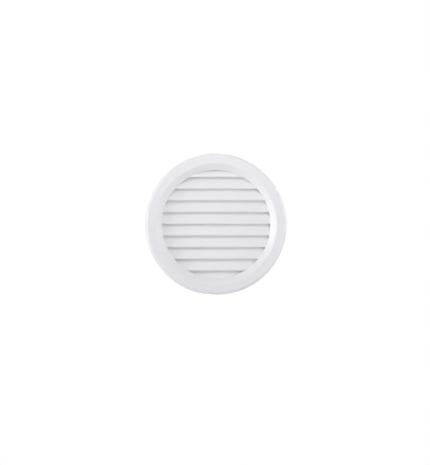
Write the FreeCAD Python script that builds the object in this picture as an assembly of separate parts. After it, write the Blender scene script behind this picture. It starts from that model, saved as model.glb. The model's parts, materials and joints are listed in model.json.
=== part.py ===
import FreeCAD, Part
import math
import os

# Round louvred vent cover: one white plastic moulding that pushes into a duct.
# Millimetres, +Z up. The origin is on the duct's axis, in the plane of the wall.
# The cover looks out along -Y, and its spigot goes into the wall along +Y.

# Duct and spigot
duct_bore = 100.0          # bore of the duct that the cover closes
duct_clearance = 0.2       # gap between the spigot and the duct, all round
spigot_wall = 1.5
spigot_length = 22.0       # from the wall plane to the spigot's end
lead_in_length = 2.5       # taper that starts the spigot into the duct
lead_in_depth = 0.6

# Flange, a hollow ring that stands on the wall around the duct's mouth
flange_reach = 10.0        # how far the flange covers the wall beyond the duct's bore
flange_height = 7.0        # wall plane to front face
flange_wall = 1.8
flange_edge_radius = 3.0   # rounding of the outer front edge
flange_chamfer = 0.7       # inside corner behind that edge

# Bevel that leads from the flat front face down to the mouth, where a lip stands inside the bore
bevel_width = 5.5
bevel_depth = 4.0
lip_width = 2.2            # how far the lip stands in from the bore
lip_thickness = 1.2
crease_radius = 0.3        # rounding where the bevel meets the lip

# Louvre: level blades whose noses are lower than their backs, so that rain runs out
blade_pitch = 9.94
blade_angle = 67.0         # degrees from level
blade_thickness = 1.5
blade_overlap = 1.0        # how far each blade's back rises above the nose of the one over it
nose_reach = 0.1           # the noses stand this far in front of the mouth
nose_face = 1.2            # height of the upright face at the nose
nose_radius = 0.3          # rounding of the nose's two edges
middle_nose_height = 0.5   # underside of the nose nearest the axis, above the axis

# Sizes that follow
spigot_radius = duct_bore / 2 - duct_clearance
bore_radius = spigot_radius - spigot_wall
flange_radius = duct_bore / 2 + flange_reach
mouth_radius = bore_radius - lip_width
face_radius = mouth_radius + bevel_width
front = -flange_height
mouth = front + bevel_depth
blade_rise = blade_pitch + blade_overlap


def vector_toward(start, end):
    """Unit vector from start to end."""
    return (end - start).normalize()


def rounded_wire(corners):
    """Closed wire through (point, radius) corners, with a tangent arc of that radius at each corner."""
    points = [point for point, radius in corners]
    rounded = []
    for index, (corner, radius) in enumerate(corners):
        before = vector_toward(corner, points[index - 1])
        after = vector_toward(corner, points[(index + 1) % len(points)])
        half_angle = before.getAngle(after) / 2
        reach = radius / math.tan(half_angle)
        arc_middle = corner + (before + after).normalize() * (radius / math.sin(half_angle) - radius)
        rounded.append((corner + before * reach, arc_middle, corner + after * reach, radius))
    edges = []
    for index, (arc_start, arc_middle, arc_end, radius) in enumerate(rounded):
        if radius > 0:
            edges.append(Part.Arc(arc_start, arc_middle, arc_end).toShape())
        next_start = rounded[(index + 1) % len(rounded)][0]
        edges.append(Part.LineSegment(arc_end, next_start).toShape())
    return Part.Wire(edges)


def turned(section):
    """Solid made by turning a half section of (radius, y, rounding) corners about the duct's axis."""
    wire = rounded_wire([(FreeCAD.Vector(radius, y, 0), rounding) for radius, y, rounding in section])
    return Part.Face(wire).revolve(FreeCAD.Vector(0, 0, 0), FreeCAD.Vector(0, 1, 0), 360)


def flange_and_spigot():
    """Flange, bevel and spigot as one wall, drawn as a half section and turned about the duct's axis."""
    slope = math.hypot(bevel_width, bevel_depth)
    bevel_back_radius = face_radius + flange_wall * bevel_depth / slope
    bevel_back_y = front + flange_wall * bevel_width / slope
    face_back_y = front + flange_wall
    back_crease_radius = bevel_back_radius - (face_back_y - bevel_back_y) * bevel_width / bevel_depth
    root_y = bevel_back_y + (bevel_back_radius - spigot_radius) * bevel_depth / bevel_width
    skirt_radius = flange_radius - flange_wall
    return turned([
        (flange_radius, 0, 0),
        (flange_radius, front, flange_edge_radius),
        (face_radius, front, 0),
        (mouth_radius, mouth, crease_radius),
        (mouth_radius, mouth + lip_thickness, 0),
        (bore_radius, mouth + lip_thickness, 0),
        (bore_radius, spigot_length, 0),
        (spigot_radius - lead_in_depth, spigot_length, 0),
        (spigot_radius, spigot_length - lead_in_length, 0),
        (spigot_radius, root_y, 0),
        (back_crease_radius, face_back_y, 0),
        (skirt_radius - flange_chamfer, face_back_y, 0),
        (skirt_radius, face_back_y + flange_chamfer, 0),
        (skirt_radius, 0, 0),
    ])


def space_inside():
    """The room for the blades: the bevelled mouth and the bore, out to the middle of the wall around them."""
    let_in = lip_thickness / 2
    end_radius = (bore_radius + spigot_radius) / 2
    return turned([
        (0, front + let_in, 0),
        (face_radius, front + let_in, 0),
        (mouth_radius, mouth + let_in, 0),
        (end_radius, mouth + let_in, 0),
        (end_radius, spigot_length, 0),
        (0, spigot_length, 0),
    ])


def blade(nose_height):
    """One louvre blade before trimming: a sloping plate with an upright nose, as long as the spigot is wide."""
    slope = math.tan(math.radians(blade_angle))
    across = blade_thickness / math.sin(math.radians(blade_angle))
    nose_y = mouth - nose_reach
    top_y = nose_y + (blade_rise - nose_face) / slope
    section = [
        (nose_y, nose_height, nose_radius),
        (nose_y, nose_height + nose_face, nose_radius),
        (top_y, nose_height + blade_rise, 0),
        (top_y + across, nose_height + blade_rise, 0),
        (nose_y + across - nose_face / slope, nose_height, 0),
    ]
    outline = rounded_wire([(FreeCAD.Vector(-spigot_radius, y, z), rounding) for y, z, rounding in section])
    return Part.Face(outline).extrude(FreeCAD.Vector(2 * spigot_radius, 0, 0))


def nose_heights():
    """Heights of the noses, from the lowest blade that shows in the mouth to the highest."""
    lowest = math.ceil((nose_face - mouth_radius - blade_rise - middle_nose_height) / blade_pitch)
    highest = math.floor((mouth_radius - nose_face - middle_nose_height) / blade_pitch)
    return [middle_nose_height + blade_pitch * step for step in range(lowest, highest + 1)]


def vent_cover():
    """The whole moulding, its blades trimmed to the round room that they stand in."""
    room = space_inside()
    blades = [blade(height).common(room) for height in nose_heights()]
    return flange_and_spigot().fuse(blades)


os.makedirs("parts", exist_ok=True)
cover = vent_cover()
cover.exportStep("parts/vent_cover.step")
print("blades", len(nose_heights()), "solids", len(cover.Solids), "valid", cover.isValid())
print("volume mm3", round(cover.Volume, 1), "box", cover.optimalBoundingBox())
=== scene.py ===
# %% [markdown]
# A round vent cover for the end of a duct
#
# The real object is one white plastic moulding: a ring that lies on the wall, a
# bevelled mouth, level sloping blades across the mouth, and a short tube behind,
# the spigot, that pushes into the duct. This lesson builds it from three drawn
# outlines and a Geometry Nodes tree, then lights and frames it.
#
# The solid model is loaded first and stays untouched as the frame. Metres are
# used throughout, with +Z up, the front facing -Y and the origin on the duct's
# axis in the plane of the wall.

# %% Load the frame
import json
import math

import bmesh
import bpy
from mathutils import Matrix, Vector


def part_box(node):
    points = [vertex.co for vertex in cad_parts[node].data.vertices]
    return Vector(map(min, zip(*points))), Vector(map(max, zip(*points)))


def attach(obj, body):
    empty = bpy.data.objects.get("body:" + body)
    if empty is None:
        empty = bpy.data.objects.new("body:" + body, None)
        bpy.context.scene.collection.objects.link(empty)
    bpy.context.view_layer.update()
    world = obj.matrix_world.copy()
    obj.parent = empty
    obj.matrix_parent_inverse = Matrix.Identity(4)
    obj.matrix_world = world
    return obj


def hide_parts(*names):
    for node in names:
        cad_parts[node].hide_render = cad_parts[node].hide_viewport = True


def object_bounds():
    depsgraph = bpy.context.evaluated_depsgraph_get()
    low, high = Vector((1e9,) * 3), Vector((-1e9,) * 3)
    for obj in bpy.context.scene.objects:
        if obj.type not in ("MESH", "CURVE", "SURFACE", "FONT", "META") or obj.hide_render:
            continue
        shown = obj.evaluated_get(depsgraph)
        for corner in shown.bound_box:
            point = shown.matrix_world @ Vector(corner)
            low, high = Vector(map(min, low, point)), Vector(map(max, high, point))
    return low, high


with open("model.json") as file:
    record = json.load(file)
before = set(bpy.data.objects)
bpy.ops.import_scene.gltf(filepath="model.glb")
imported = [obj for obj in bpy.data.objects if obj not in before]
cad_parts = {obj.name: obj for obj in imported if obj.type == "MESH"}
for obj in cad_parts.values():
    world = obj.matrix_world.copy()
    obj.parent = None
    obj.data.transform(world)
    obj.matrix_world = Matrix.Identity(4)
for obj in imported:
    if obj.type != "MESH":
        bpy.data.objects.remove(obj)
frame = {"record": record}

cad_low, cad_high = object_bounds()
print("frame box from", tuple(cad_low), "to", tuple(cad_high))

# %% [markdown]
# Sizes of the ring and the spigot
#
# The outside of the moulding is known from the frame: how wide the flange is,
# how far it stands off the wall, how long the spigot is. The spigot's radius is
# in the record, because a duct has to fit over it. What is left are wall
# thicknesses and the shape of the mouth, which are named here once.

# %% Sizes of the ring and the spigot
mm = 0.001
flange_radius = cad_high.x
front = cad_low.y
spigot_end = cad_high.y
mounts = {mount["name"]: mount for mount in frame["record"]["mounts"]}
spigot_radius = mounts["spigot"]["dims"]["r_mm"] * mm

spigot_wall = 1.5 * mm
lead_in_length = 2.5 * mm
lead_in_depth = 0.6 * mm
flange_wall = 1.8 * mm
flange_edge_radius = 3.0 * mm
flange_chamfer = 0.7 * mm
bevel_width = 5.5 * mm
bevel_depth = 4.0 * mm
lip_width = 2.2 * mm
lip_thickness = 1.2 * mm
crease_radius = 0.3 * mm
moulded_edge = 0.2 * mm

bore_radius = spigot_radius - spigot_wall
mouth_radius = bore_radius - lip_width
face_radius = mouth_radius + bevel_width
mouth = front + bevel_depth
print("flange radius", flange_radius, "mouth radius", mouth_radius, "bore radius", bore_radius)

# %% [markdown]
# Outlines
#
# A moulding like this is drawn as cross-sections. Each outline below is a closed
# loop of corners, and each corner carries its own rounding as a vertex attribute
# named rounding. Curves could hold the same corners, but a mesh loop keeps the
# attribute with the point, and Mesh to Curve turns it into a curve later.
# Even edges that look sharp get a small radius, because no moulded edge is
# perfectly sharp and the radius catches a thin line of light.

# %% A helper that draws an outline
def outline(name, corners):
    """Helper object whose mesh is a closed loop through (x, y, rounding) corners."""
    count = len(corners)
    loop = bpy.data.meshes.new(name)
    loop.from_pydata(
        [(x, y, 0) for x, y, rounding in corners],
        [(index, (index + 1) % count) for index in range(count)],
        [],
    )
    roundings = loop.attributes.new("rounding", "FLOAT", "POINT")
    roundings.data.foreach_set("value", [rounding for x, y, rounding in corners])
    drawn = bpy.data.objects.new(name, loop)
    bpy.context.scene.collection.objects.link(drawn)
    print("outline", name, "has", count, "corners")
    return drawn


# %% [markdown]
# The ring's cross-section
#
# Flange, bevel, lip and spigot are one continuous wall, so one outline describes
# them all. It starts at the wall, goes behind the flange and along the outside
# of the spigot to its end, returns along the inside to the lip, climbs the
# bevel, crosses the flat face and comes back over the rounded outer edge. The
# back of the bevel is parallel to its front, so the flange has one thickness,
# which lets a moulding cool without sink marks.
#
# The outline will be swept round a circle as wide as the mouth, and its x is the
# distance from that circle. Corners run anticlockwise, so that the swept faces
# look outward.

# %% Draw the ring's cross-section
def ring_corners():
    """Corners of the moulded wall as (radius, y, rounding)."""
    slope = math.hypot(bevel_width, bevel_depth)
    bevel_back_radius = face_radius + flange_wall * bevel_depth / slope
    bevel_back_y = front + flange_wall * bevel_width / slope
    face_back_y = front + flange_wall
    crease_back_radius = bevel_back_radius - (face_back_y - bevel_back_y) * bevel_width / bevel_depth
    root_y = bevel_back_y + (bevel_back_radius - spigot_radius) * bevel_depth / bevel_width
    skirt_radius = flange_radius - flange_wall
    return [
        (skirt_radius, 0, moulded_edge),
        (skirt_radius, face_back_y + flange_chamfer, moulded_edge),
        (skirt_radius - flange_chamfer, face_back_y, moulded_edge),
        (crease_back_radius, face_back_y, moulded_edge),
        (spigot_radius, root_y, moulded_edge),
        (spigot_radius, spigot_end - lead_in_length, moulded_edge),
        (spigot_radius - lead_in_depth, spigot_end, moulded_edge),
        (bore_radius, spigot_end, moulded_edge),
        (bore_radius, mouth + lip_thickness, moulded_edge),
        (mouth_radius, mouth + lip_thickness, moulded_edge),
        (mouth_radius, mouth, crease_radius),
        (face_radius, front, crease_radius),
        (flange_radius, front, flange_edge_radius),
        (flange_radius, 0, moulded_edge),
    ]


turning_radius = mouth_radius


def outline_to_turn(name, corners):
    """Outline of (radius, y, rounding) corners, with x measured from the turning circle."""
    from_circle = [(radius - turning_radius, y, rounding) for radius, y, rounding in corners]
    return outline(name, from_circle)


ring_outline = outline_to_turn("ring outline", ring_corners())

# %% [markdown]
# The blades' cross-section
#
# Each blade is a flat plate that leans back as it rises, so that rain runs out
# over its nose. The nose is upright and has a level underside, which throws the
# crisp dark line seen below every blade. One cross-section serves all blades,
# because a tree can repeat it at an even pitch.
#
# A curve swept along X turns its outline upside down and back to front, so the
# corners are drawn with both signs changed.

# %% Draw the blade's cross-section
blade_pitch = 9.94 * mm
blade_angle = math.radians(67)
blade_thickness = 1.5 * mm
blade_overlap = 1.0 * mm
nose_reach = 0.1 * mm
nose_face = 1.2 * mm
nose_radius = 0.3 * mm

blade_rise = blade_pitch + blade_overlap


def blade_corners():
    """Corners of one blade as (y, z, rounding), with z measured from the underside of its nose."""
    slope = math.tan(blade_angle)
    across = blade_thickness / math.sin(blade_angle)
    nose_y = mouth - nose_reach
    top_y = nose_y + (blade_rise - nose_face) / slope
    return [
        (nose_y + across - nose_face / slope, 0, moulded_edge),
        (top_y + across, blade_rise, moulded_edge),
        (top_y, blade_rise, moulded_edge),
        (nose_y, nose_face, nose_radius),
        (nose_y, 0, nose_radius),
    ]


blade_outline = outline("blade outline", [(-y, -z, rounding) for y, z, rounding in blade_corners()])

# %% [markdown]
# How many blades
#
# The photograph fixes the height of one nose, the one nearest the axis. The
# others follow at the pitch, up and down, as long as enough of a blade shows in
# the mouth. A typed number would do for this cover, but the rule still holds
# when the mouth or the pitch changes.

# %% Count the blades
middle_nose_height = 0.5 * mm

lowest_step = math.ceil((nose_face - mouth_radius - blade_rise - middle_nose_height) / blade_pitch)
highest_step = math.floor((mouth_radius - nose_face - middle_nose_height) / blade_pitch)
blade_count = highest_step - lowest_step + 1
lowest_nose = middle_nose_height + lowest_step * blade_pitch
print("blades", blade_count, "lowest nose at", lowest_nose)

# %% [markdown]
# What has to be trimmed off
#
# The blades start as plates that are longer than the mouth is wide. On the real
# moulding they grow out of the round wall, so their ends follow a circle. A
# turned ring of waste, which begins in the middle of the wall and reaches past
# the plates' corners, is taken off them with a Boolean. The cut lies inside the
# wall, so it never shows.

# %% Draw the waste ring's cross-section
plate_half_length = spigot_radius + spigot_wall
corner_reach = 1.6
waste_radius = corner_reach * plate_half_length
cut_ease = 0.05 * mm


def waste_corners():
    """Corners of the ring that is cut off the plates, as (radius, y, rounding)."""
    let_in = lip_thickness / 2
    end_radius = (bore_radius + spigot_radius) / 2
    return [
        (waste_radius, front + let_in, cut_ease),
        (waste_radius, spigot_end, cut_ease),
        (end_radius, spigot_end, cut_ease),
        (end_radius, mouth + let_in, cut_ease),
        (mouth_radius, mouth + let_in, cut_ease),
        (face_radius, front + let_in, cut_ease),
    ]


waste_outline = outline_to_turn("waste outline", waste_corners())

# %% [markdown]
# Helpers for node trees
#
# A tree made in a script is a list of nodes and links, and most of the lines
# would say the same thing. Three small helpers keep it readable: one opens a
# tree with named inputs, one adds a node and fills or links its sockets, and one
# links the finished geometry to the tree's output.

# %% Helpers for node trees
def new_tree(name, inputs):
    """Geometry Nodes tree with one geometry output; inputs maps a name to a socket type."""
    tree = bpy.data.node_groups.new(name, "GeometryNodeTree")
    for label, kind in inputs.items():
        tree.interface.new_socket(label, in_out="INPUT", socket_type=kind)
    tree.interface.new_socket("Geometry", in_out="OUTPUT", socket_type="NodeSocketGeometry")
    return tree, tree.nodes.new("NodeGroupInput").outputs


def add_node(tree, kind, sockets=None, **settings):
    """Outputs of a new node; sockets maps an input to a value or to the output that feeds it."""
    made = tree.nodes.new(kind)
    for name, value in settings.items():
        setattr(made, name, value)
    for name, value in (sockets or {}).items():
        if isinstance(value, bpy.types.NodeSocket):
            tree.links.new(value, made.inputs[name])
        else:
            made.inputs[name].default_value = value
    return made.outputs


def end_tree(tree, geometry):
    """Links the geometry to the tree's output and says how large the tree is."""
    tree.links.new(geometry, tree.nodes.new("NodeGroupOutput").inputs[0])
    print("node tree", tree.name, "has", len(tree.nodes), "nodes")


# %% [markdown]
# A rounded outline
#
# Both the turned ring and the straight blades begin in the same way: take an
# outline, make it a curve, and round every corner by its own attribute. That is
# one small node group, used by both. Fillet Curve in poly mode makes plain short
# segments, so the sweep gets exactly as many faces as asked for.

# %% Node group: rounded outline
rounded, given = new_tree("rounded outline", {
    "Outline": "NodeSocketObject",
    "Arc Steps": "NodeSocketInt",
})
drawn = add_node(rounded, "GeometryNodeObjectInfo", {"Object": given["Outline"]})
curve = add_node(rounded, "GeometryNodeMeshToCurve", {"Mesh": drawn["Geometry"]})
corner_radius = add_node(rounded, "GeometryNodeInputNamedAttribute", {
    "Name": "rounding",
}, data_type="FLOAT")
filleted = add_node(rounded, "GeometryNodeFilletCurve", {
    "Curve": curve["Curve"],
    "Count": given["Arc Steps"],
    "Radius": corner_radius["Attribute"],
    "Limit Radius": True,
}, mode="POLY")
end_tree(rounded, filleted["Curve"])

# %% [markdown]
# Turning an outline
#
# A lathe shape can be made with the Screw modifier or with Spin. Curve to Mesh
# does the same inside a tree: the outline is the profile and a circle is the
# path. The circle lies flat, so the result is tipped up by a quarter turn to
# point its axis along Y, the direction of the duct.

# %% Node group: turned outline
quarter_turn = math.radians(90)

turned, given = new_tree("turned outline", {
    "Outline": "NodeSocketObject",
    "Arc Steps": "NodeSocketInt",
    "Round Steps": "NodeSocketInt",
    "Turning Radius": "NodeSocketFloat",
})
profile = add_node(turned, "GeometryNodeGroup", {
    "Outline": given["Outline"],
    "Arc Steps": given["Arc Steps"],
}, node_tree=rounded)
circle = add_node(turned, "GeometryNodeCurvePrimitiveCircle", {
    "Resolution": given["Round Steps"],
    "Radius": given["Turning Radius"],
})
swept = add_node(turned, "GeometryNodeCurveToMesh", {
    "Curve": circle["Curve"],
    "Profile Curve": profile["Geometry"],
})
upright = add_node(turned, "GeometryNodeTransform", {
    "Geometry": swept["Mesh"],
    "Rotation": (quarter_turn, 0, 0),
})
end_tree(turned, upright["Geometry"])

# %% [markdown]
# One plate
#
# A blade before trimming is a plate with the same section all along, so its
# outline is swept along a straight line from left to right and its two ends
# are capped. The half length is an input, and the left end is its negative.

# %% Node group: plate
plate, given = new_tree("plate", {
    "Outline": "NodeSocketObject",
    "Arc Steps": "NodeSocketInt",
    "Half Length": "NodeSocketFloat",
})
section = add_node(plate, "GeometryNodeGroup", {
    "Outline": given["Outline"],
    "Arc Steps": given["Arc Steps"],
}, node_tree=rounded)
left_x = add_node(plate, "ShaderNodeMath", {0: given["Half Length"], 1: -1.0}, operation="MULTIPLY")
left_end = add_node(plate, "ShaderNodeCombineXYZ", {"X": left_x["Value"]})
right_end = add_node(plate, "ShaderNodeCombineXYZ", {"X": given["Half Length"]})
length = add_node(plate, "GeometryNodeCurvePrimitiveLine", {
    "Start": left_end["Vector"],
    "End": right_end["Vector"],
})
swept = add_node(plate, "GeometryNodeCurveToMesh", {
    "Curve": length["Curve"],
    "Profile Curve": section["Geometry"],
    "Fill Caps": True,
})
end_tree(plate, swept["Mesh"])

# %% [markdown]
# The whole cover as one tree
#
# The groups now come together in one tree for the whole moulding. Every size is
# a named input, so the tree can be tried with other values in the modifier panel
# without touching a node.

# %% Node tree: inputs of the vent cover
cover_tree, given = new_tree("vent cover", {
    "Ring Outline": "NodeSocketObject",
    "Blade Outline": "NodeSocketObject",
    "Waste Outline": "NodeSocketObject",
    "Arc Steps": "NodeSocketInt",
    "Round Steps": "NodeSocketInt",
    "Turning Radius": "NodeSocketFloat",
    "Half Length": "NodeSocketFloat",
    "Blade Count": "NodeSocketInt",
    "Lowest Nose": "NodeSocketFloat",
    "Blade Pitch": "NodeSocketFloat",
    "Merge Distance": "NodeSocketFloat",
    "Material": "NodeSocketMaterial",
})
cover_inputs = [socket for socket in cover_tree.interface.items_tree if socket.in_out == "INPUT"]
print("the cover's tree takes", ", ".join(socket.name for socket in cover_inputs))

# %% [markdown]
# A stack of plates
#
# The blades repeat at an even pitch. An Array modifier could repeat them, but
# inside a tree that is what instances are for: one plate is put on every point
# of an upright Mesh Line. Then the instances are made real, because a Boolean
# needs real faces.

# %% Node tree: stack of plates
one_plate = add_node(cover_tree, "GeometryNodeGroup", {
    "Outline": given["Blade Outline"],
    "Arc Steps": given["Arc Steps"],
    "Half Length": given["Half Length"],
}, node_tree=plate)
lowest_place = add_node(cover_tree, "ShaderNodeCombineXYZ", {"Z": given["Lowest Nose"]})
step_up = add_node(cover_tree, "ShaderNodeCombineXYZ", {"Z": given["Blade Pitch"]})
places = add_node(cover_tree, "GeometryNodeMeshLine", {
    "Count": given["Blade Count"],
    "Start Location": lowest_place["Vector"],
    "Offset": step_up["Vector"],
}, mode="OFFSET")
stack = add_node(cover_tree, "GeometryNodeInstanceOnPoints", {
    "Points": places["Mesh"],
    "Instance": one_plate["Geometry"],
})
plates = add_node(cover_tree, "GeometryNodeRealizeInstances", {"Geometry": stack["Instances"]})
print("the cover's tree has", len(cover_tree.nodes), "nodes so far")

# %% [markdown]
# Trim the plates and join them to the ring
#
# The waste ring is taken off the plates, and what is left is joined to the ring,
# so the mesh becomes one closed skin as on a moulding. Blades that only stand
# inside the ring would look the same from the front, but hidden ends would stay
# in the mesh. The second Boolean also reports the edges where blades and ring
# meet, and these are stored as sharp. Last, the plastic is put on every face.

# %% Node tree: trim and join
def turned_from(outline_name):
    """Outputs of a node that turns the outline given under this name."""
    return add_node(cover_tree, "GeometryNodeGroup", {
        "Outline": given[outline_name],
        "Arc Steps": given["Arc Steps"],
        "Round Steps": given["Round Steps"],
        "Turning Radius": given["Turning Radius"],
    }, node_tree=turned)


blades = add_node(cover_tree, "GeometryNodeMeshBoolean", {
    "Mesh 1": plates["Geometry"],
    "Mesh 2": turned_from("Waste Outline")["Geometry"],
}, operation="DIFFERENCE", solver="EXACT")
joined = add_node(cover_tree, "GeometryNodeMeshBoolean", {
    "Mesh 2": turned_from("Ring Outline")["Geometry"],
}, operation="UNION", solver="EXACT")
cover_tree.links.new(blades["Mesh"], joined["Mesh"].node.inputs["Mesh 2"])
creased = add_node(cover_tree, "GeometryNodeStoreNamedAttribute", {
    "Geometry": joined["Mesh"],
    "Name": "sharp_edge",
    "Value": joined["Intersecting Edges"],
}, data_type="BOOLEAN", domain="EDGE")
merged = add_node(cover_tree, "GeometryNodeMergeByDistance", {
    "Geometry": creased["Geometry"],
    "Distance": given["Merge Distance"],
})
real = add_node(cover_tree, "GeometryNodeRealizeInstances", {"Geometry": merged["Geometry"]})
coated = add_node(cover_tree, "GeometryNodeSetMaterial", {
    "Geometry": real["Geometry"],
    "Material": given["Material"],
})
end_tree(cover_tree, coated["Geometry"])

# %% [markdown]
# The finish: white satin plastic
#
# The cover is moulded in slightly cool white plastic with a soft sheen, like a
# light switch. Its colour comes from the record. One even colour and gloss would
# be simpler, but a real moulding is never quite even. So a broad noise moves the
# colour by about one part in a hundred and the gloss a little more. It is laid
# on Object coordinates, so it stays with the plastic.

# %% White satin plastic: colour and sheen
finishes = {material["slot"]: material for material in frame["record"]["materials"]}
plastic_colour = finishes["white_plastic"]["base_color"][:3]
plastic_ior = 1.49
colour_spread = 0.01
gloss_roughness = 0.33
dull_roughness = 0.40
mottle_size = 12.0 * mm
mottle_detail = 2.0


def shade(colour, factor):
    """The colour made lighter or darker, with full alpha."""
    return tuple(channel * factor for channel in colour) + (1,)


plastic = bpy.data.materials.new("white plastic")
plastic.use_nodes = True
plastic_tree = plastic.node_tree
satin = plastic_tree.nodes["Principled BSDF"]
satin.inputs["IOR"].default_value = plastic_ior
place = add_node(plastic_tree, "ShaderNodeTexCoord")
mottle = add_node(plastic_tree, "ShaderNodeTexNoise", {
    "Vector": place["Object"],
    "Scale": 1 / mottle_size,
    "Detail": mottle_detail,
})
tint = add_node(plastic_tree, "ShaderNodeValToRGB", {"Fac": mottle["Fac"]})
tint_ramp = tint["Color"].node.color_ramp
tint_ramp.elements[0].color = shade(plastic_colour, 1 - colour_spread)
tint_ramp.elements[1].color = shade(plastic_colour, 1 + colour_spread)
plastic_tree.links.new(tint["Color"], satin.inputs["Base Color"])
sheen = add_node(plastic_tree, "ShaderNodeMapRange", {
    "Value": mottle["Fac"],
    "To Min": gloss_roughness,
    "To Max": dull_roughness,
})
plastic_tree.links.new(sheen["Result"], satin.inputs["Roughness"])
print("plastic colour", [round(channel, 3) for channel in plastic_colour])

# %% [markdown]
# The grain of the plastic
#
# Satin plastic gets its sheen from a mould with a finely roughened wall, and up
# close a very fine grain shows. It is far too fine for the mesh, so a second
# noise feeds a Bump node, which tilts the light without moving a point.

# %% White satin plastic: grain
grain_size = 0.5 * mm
grain_detail = 1.0
grain_height = 0.03 * mm
grain_strength = 0.5

grain = add_node(plastic_tree, "ShaderNodeTexNoise", {
    "Vector": place["Object"],
    "Scale": 1 / grain_size,
    "Detail": grain_detail,
})
relief = add_node(plastic_tree, "ShaderNodeBump", {
    "Height": grain["Fac"],
    "Strength": grain_strength,
    "Distance": grain_height,
})
plastic_tree.links.new(relief["Normal"], satin.inputs["Normal"])
print("material", plastic.name, "has", len(plastic_tree.nodes), "nodes")

# %% [markdown]
# Make the mesh
#
# The steps say how finely roundings and circles are divided: enough that no
# straight stretch shows, even close up. The tree's inputs are set through their
# socket identifiers before anything is evaluated. The evaluated result is then
# copied to a plain mesh, and the modifier and the outlines are removed, so the
# finished piece depends on nothing else.

# %% Make the mesh
arc_steps = 8
round_steps = 288
merge_distance = 0.002 * mm

cover = bpy.data.objects.new("moulding", bpy.data.meshes.new("moulding"))
bpy.context.scene.collection.objects.link(cover)
tree_values = {
    "Ring Outline": ring_outline,
    "Blade Outline": blade_outline,
    "Waste Outline": waste_outline,
    "Arc Steps": arc_steps,
    "Round Steps": round_steps,
    "Turning Radius": turning_radius,
    "Half Length": plate_half_length,
    "Blade Count": blade_count,
    "Lowest Nose": lowest_nose,
    "Blade Pitch": blade_pitch,
    "Merge Distance": merge_distance,
    "Material": plastic,
}
nodes_modifier = cover.modifiers.new("vent cover", "NODES")
nodes_modifier.node_group = cover_tree
for socket in cover_inputs:
    nodes_modifier[socket.identifier] = tree_values[socket.name]


def made_plain(piece):
    """Replaces the piece's mesh by its evaluated result and removes its modifiers."""
    evaluated = piece.evaluated_get(bpy.context.evaluated_depsgraph_get())
    result = bpy.data.meshes.new_from_object(evaluated)
    piece.modifiers.clear()
    piece.data = result


made_plain(cover)
for used in (ring_outline, blade_outline, waste_outline):
    bpy.data.objects.remove(used)
print("faces", len(cover.data.polygons))

# %% [markdown]
# Close the skin
#
# A Boolean can leave points that lie on top of each other and faces that point
# inward, so points are merged and normals recalculated. The count of open edges
# and the volume show whether the skin is closed: the volume has to be positive
# and close to that of the solid model.

# %% Close the skin
skin = bmesh.new()
skin.from_mesh(cover.data)
bmesh.ops.remove_doubles(skin, verts=skin.verts, dist=merge_distance)
bmesh.ops.recalc_face_normals(skin, faces=skin.faces)
open_edges = sum(len(edge.link_faces) != 2 for edge in skin.edges)
print("open edges", open_edges, "volume mm3", round(skin.calc_volume(signed=True) / mm ** 3, 1))
skin.to_mesh(cover.data)
skin.free()

# %% [markdown]
# Smooth the skin
#
# Faces are shaded smooth, except across the stored sharp edges. Beside a very
# small rounding a large flat face would look pillowy, because its corners borrow
# the rounding's direction. More faces beside each rounding would help, and so
# does the Weighted Normal modifier, which lets the larger face decide and adds
# no face.

# %% Smooth the skin
cover.data.shade_smooth()
flat_faces_lead = cover.modifiers.new("flat faces lead", "WEIGHTED_NORMAL")
flat_faces_lead.keep_sharp = True
made_plain(cover)
cover.data.calc_loop_triangles()
sharp_edges = sum(edge.use_edge_sharp for edge in cover.data.edges)
print("triangles", len(cover.data.loop_triangles), "sharp edges", sharp_edges)

# %% [markdown]
# Give the piece its place in the frame
#
# The finished mesh rides on the root body, replaces the solid model's node and
# uses the record's plastic. It was built at the origin in the same metres, so it
# needs no move.

# %% Give the piece its place in the frame
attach(cover, "root")
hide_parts("vent_cover")
solid_low, solid_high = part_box("vent_cover")
print("it stands for a solid from", tuple(solid_low), "to", tuple(solid_high))

# %% [markdown]
# White background
#
# The photograph shows the cover face on against plain white. White comes from
# the world: at strength 1 for what the camera sees directly, in reflections or
# through glass, while a weaker dome of the same world lights the object evenly.
# The Light Path node tells these rays apart, so that the white behind the object
# doesn't flood its matt surfaces with light.

# %% White background
white = (1, 1, 1, 1)
background_strength = 1.0
dome_strength = 0.36

world = bpy.data.worlds.new("white studio")
bpy.context.scene.world = world
world.use_nodes = True
world_tree = world.node_tree
dome = world_tree.nodes["Background"]
dome.inputs["Color"].default_value = white
dome.inputs["Strength"].default_value = dome_strength
plain_white = add_node(world_tree, "ShaderNodeBackground", {
    "Color": white,
    "Strength": background_strength,
})
ray = add_node(world_tree, "ShaderNodeLightPath")
direct_or_mirrored = add_node(world_tree, "ShaderNodeMath", {
    0: ray["Is Camera Ray"],
    1: ray["Is Glossy Ray"],
}, operation="MAXIMUM")
shows_background = add_node(world_tree, "ShaderNodeMath", {
    0: direct_or_mirrored["Value"],
    1: ray["Is Transmission Ray"],
}, operation="MAXIMUM")
background = add_node(world_tree, "ShaderNodeMixShader", {
    "Fac": shows_background["Value"],
    1: dome.outputs["Background"],
    2: plain_white["Background"],
})
world_tree.links.new(background["Shader"], world_tree.nodes["World Output"].inputs["Surface"])
print("world", world.name, "dome strength", dome_strength)

# %% [markdown]
# Floor
#
# A pale round table stands well below the cover. The main picture looks over
# it, and from above it catches the cover's soft shadow. A disc is enough, with
# one plain matt material, because it only has to be pale and quiet.

# %% Floor
floor_radius = 0.45
floor_segments = 128
floor_drop = 0.50
floor_colour = (0.90, 0.90, 0.90, 1)
floor_roughness = 0.9

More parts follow.
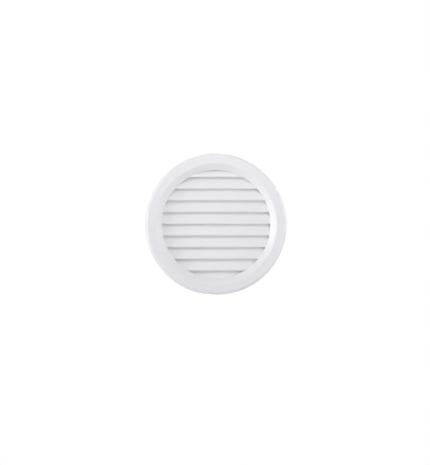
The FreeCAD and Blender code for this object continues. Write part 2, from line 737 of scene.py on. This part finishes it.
table_top = bmesh.new()
bmesh.ops.create_circle(table_top, cap_ends=True, segments=floor_segments, radius=floor_radius)
floor_mesh = bpy.data.meshes.new("floor")
table_top.to_mesh(floor_mesh)
table_top.free()
floor = bpy.data.objects.new("floor", floor_mesh)
floor.location.z = -floor_drop
bpy.context.scene.collection.objects.link(floor)

pale = bpy.data.materials.new("pale floor")
pale.use_nodes = True
matt = pale.node_tree.nodes["Principled BSDF"]
matt.inputs["Base Color"].default_value = floor_colour
matt.inputs["Roughness"].default_value = floor_roughness
floor_mesh.materials.append(pale)
print("floor", floor_drop, "m below the axis")

# %% [markdown]
# Lamps
#
# The light in the photograph is soft and comes from several sides: the bevel is
# brightest on the right and in shade at the upper left, the blades' left ends
# lie in a soft shadow, and the top of the flange is brighter than its foot. One
# large lamp can't do all of that, so round area lamps stand around the object,
# and those behind it light the back for other views.
#
# Each lamp is placed by its direction from the object, in degrees: azimuth turns
# from the front toward +X, and elevation rises from level. A lamp of strength 1
# would light a white surface that faces it to about full white, near or far.

# %% Lamps
lamp_distance = 0.7
lamp_size = 0.22


def soft_lamp(name, azimuth, elevation, strength, distance=lamp_distance, size=lamp_size):
    """Round area lamp that looks at the origin and stays out of the picture."""
    turn = math.radians(azimuth)
    rise = math.radians(elevation)
    direction = Vector((
        math.sin(turn) * math.cos(rise),
        -math.cos(turn) * math.cos(rise),
        math.sin(rise),
    ))
    light = bpy.data.lights.new(name, "AREA")
    light.shape = "DISK"
    light.size = size
    light.energy = strength * (math.pi * distance) ** 2
    lamp = bpy.data.objects.new(name, light)
    lamp.location = direction * distance
    lamp.rotation_euler = direction.to_track_quat("Z", "Y").to_euler()
    lamp.visible_camera = False
    bpy.context.scene.collection.objects.link(lamp)
    print("lamp", name, "watts", round(light.energy, 2))


soft_lamp("left", azimuth=-76, elevation=2, strength=0.25)
soft_lamp("left high", azimuth=-70, elevation=12, strength=0.14)
soft_lamp("left low", azimuth=-70, elevation=-14, strength=0.12)
soft_lamp("right", azimuth=85, elevation=10, strength=0.29)
soft_lamp("front right", azimuth=30, elevation=-10, strength=0.23)
soft_lamp("near top", azimuth=0, elevation=42, strength=0.125, distance=0.32)
soft_lamp("near front", azimuth=0, elevation=30, strength=0.18, distance=0.22)
soft_lamp("back right", azimuth=160, elevation=15, strength=0.20)
soft_lamp("low back", azimuth=180, elevation=-35, strength=0.25)
soft_lamp("overhead", azimuth=180, elevation=80, strength=0.15, distance=2.0, size=0.5)

# %% [markdown]
# Camera
#
# The photograph looks straight at the front and shows almost no perspective, so
# the camera stands well away on the duct's axis. Its lens is chosen so that the
# flange is as wide in the picture as in the photograph, and a small shift puts
# its centre in the same place. The Standard view transform shows a colour about
# as it is written.

# %% Camera
camera_distance = 1.2
nearest_seen = 0.01
sensor_height_mm = 36
photo_width_px = 430
photo_height_px = 465
flange_width_px = 141.3
centre_px = (216.05, 224.4)
rim_y = front + flange_edge_radius

camera_data = bpy.data.cameras.new("camera")
camera_data.sensor_fit = "VERTICAL"
camera_data.sensor_height = sensor_height_mm
image_scale = flange_width_px / photo_height_px / (2 * flange_radius)
camera_data.lens = sensor_height_mm * image_scale * (camera_distance + rim_y)
camera_data.shift_x = (photo_width_px / 2 - centre_px[0]) / photo_height_px
camera_data.shift_y = (centre_px[1] - photo_height_px / 2) / photo_height_px
camera_data.clip_start = nearest_seen
camera = bpy.data.objects.new("camera", camera_data)
camera.location = (0, -camera_distance, 0)
camera.rotation_euler = (quarter_turn, 0, 0)
bpy.context.scene.collection.objects.link(camera)
bpy.context.scene.camera = camera
bpy.context.scene.view_settings.view_transform = "Standard"
print("lens", round(camera_data.lens, 2))
